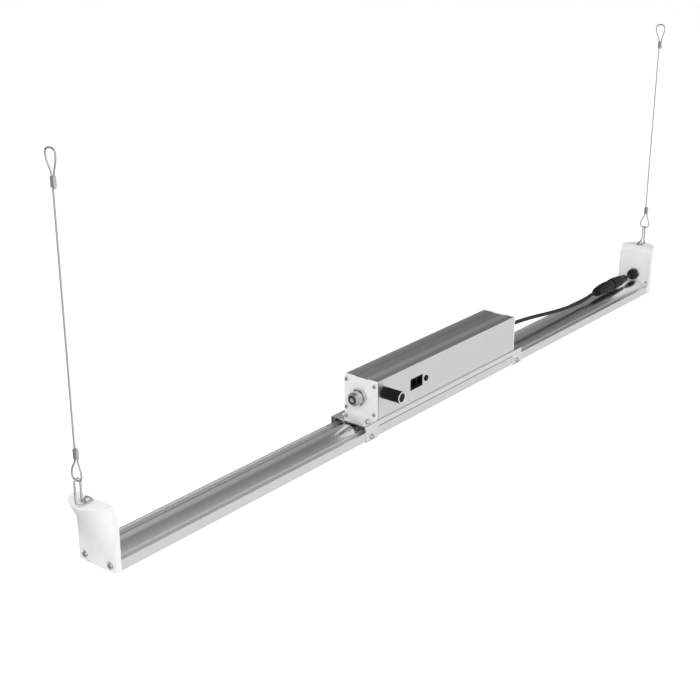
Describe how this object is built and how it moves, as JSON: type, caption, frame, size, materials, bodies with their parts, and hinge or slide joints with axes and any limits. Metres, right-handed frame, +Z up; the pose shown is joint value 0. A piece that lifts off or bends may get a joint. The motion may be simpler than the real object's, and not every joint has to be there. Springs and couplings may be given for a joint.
{
  "type": "LED grow light bar",
  "caption": "Long hanging LED grow light bar with a domed top, bowed end caps, a driver box on a long bracket, a dimmer knob, a cable with an in-line connector and looped steel hanging wires.",
  "frame": {"origin": "midway between the inner crowns of the top loops of the two suspension wires, where ceiling hooks pull", "axes": "+X along the bar from the mains gland's end towards the cable's end, +Y from the control side towards the back, +Z up"},
  "size_m": [1.25, 0.0863, 0.4442],
  "materials": {
    "bar_aluminium": "bright anodised",
    "bracket_sheet": "polished sheet",
    "driver_end": "satin",
    "cap_paint": "satin",
    "driver_shell": "anodised satin",
    "screw_steel": "bright zinc",
    "nickel": "nickel plated",
    "wire_rope": "stranded",
    "ferrule_metal": "crimped",
    "gasket_rubber": "matte",
    "black_nylon": "moulded",
    "cable_sheath": "matte",
    "knob_plastic": "moulded",
    "control_body": "moulded",
    "gold_contact": "plated",
    "clear_cover": "frosted plastic",
    "led_board": "solder mask",
    "led_phosphor": "cast silicone",
    "circuit_board": "solder mask",
    "ferrite": "sintered",
    "capacitor_sleeve": "sleeve"
  },
  "bodies": {
    "lamp": {"bar_extrusion": "bar_aluminium", "button_bezel": "nickel", "capacitors": "capacitor_sleeve", "circuit_board": "circuit_board", "connector_plug": "black_nylon", "connector_socket": "black_nylon", "control_jack": "control_body", "driver_bracket": "bracket_sheet", "driver_housing": "driver_shell", "driver_left_gasket": "gasket_rubber", "driver_left_plate": "driver_end", "driver_left_screws": "screw_steel", "driver_right_gasket": "gasket_rubber", "driver_right_plate": "driver_end", "driver_right_screws": "screw_steel", "jack_contacts": "gold_contact", "lamp_cable": "cable_sheath", "lamp_gland": "black_nylon", "lamp_gland_nut": "black_nylon", "led_board_left": "led_board", "led_board_right": "led_board", "led_packages": "led_phosphor", "left_bracket_screws": "screw_steel", "left_end_gasket": "gasket_rubber", "left_end_plate": "cap_paint", "left_end_screws": "screw_steel", "left_end_shell": "cap_paint", "left_hook": "screw_steel", "left_hook_fixing": "screw_steel", "left_plate_screws": "screw_steel", "lens_cover": "clear_cover", "mains_gland_body": "nickel", "mains_gland_lock_nut": "nickel", "mains_gland_nut": "nickel", "mains_gland_seal": "gasket_rubber", "output_cable": "cable_sheath", "output_gland": "black_nylon", "output_gland_nut": "black_nylon", "potentiometer": "control_body", "potentiometer_nut": "nickel", "right_bracket_screws": "screw_steel", "right_end_gasket": "gasket_rubber", "right_end_plate": "cap_paint", "right_end_screws": "screw_steel", "right_end_shell": "cap_paint", "right_hook": "screw_steel", "right_hook_fixing": "screw_steel", "right_plate_screws": "screw_steel", "transformer": "ferrite"},
    "left_suspension": {"left_wire": "wire_rope", "left_ferrules": "ferrule_metal"},
    "right_suspension": {"right_wire": "wire_rope", "right_ferrules": "ferrule_metal"},
    "dimmer": {"dimmer_knob": "knob_plastic", "dimmer_trim_ring": "nickel", "dimmer_shaft": "screw_steel"},
    "button": {"mode_button": "knob_plastic"},
    "coupling_ring": {"connector_ring": "black_nylon"}
  },
  "joints": [
    {"name": "left_wire_swing", "type": "hinge", "parent": "lamp", "child": "left_suspension", "pos_m": [-0.618, 0, -0.3357], "axis": [0, 1, 0], "range_deg": [-85, 85]},
    {"name": "right_wire_swing", "type": "hinge", "parent": "lamp", "child": "right_suspension", "pos_m": [0.618, 0, -0.3357], "axis": [0, 1, 0], "range_deg": [-85, 85]},
    {"name": "dimmer_knob_turn", "type": "hinge", "parent": "lamp", "child": "dimmer", "pos_m": [-0.14545, -0.04, -0.3857], "axis": [0, -1, 0], "range_deg": [-150, 150]},
    {"name": "mode_button_press", "type": "slide", "parent": "lamp", "child": "button", "axis": [0, 1, 0], "range_m": [0, 0.0012], "stiffness_N_per_m": 400, "springref_m": -0.001},
    {"name": "coupling_ring_turn", "type": "hinge", "parent": "lamp", "child": "coupling_ring", "pos_m": [0.518, 0, -0.4112], "axis": [1, 0, 0], "range_deg": [0, 90]}
  ]
}
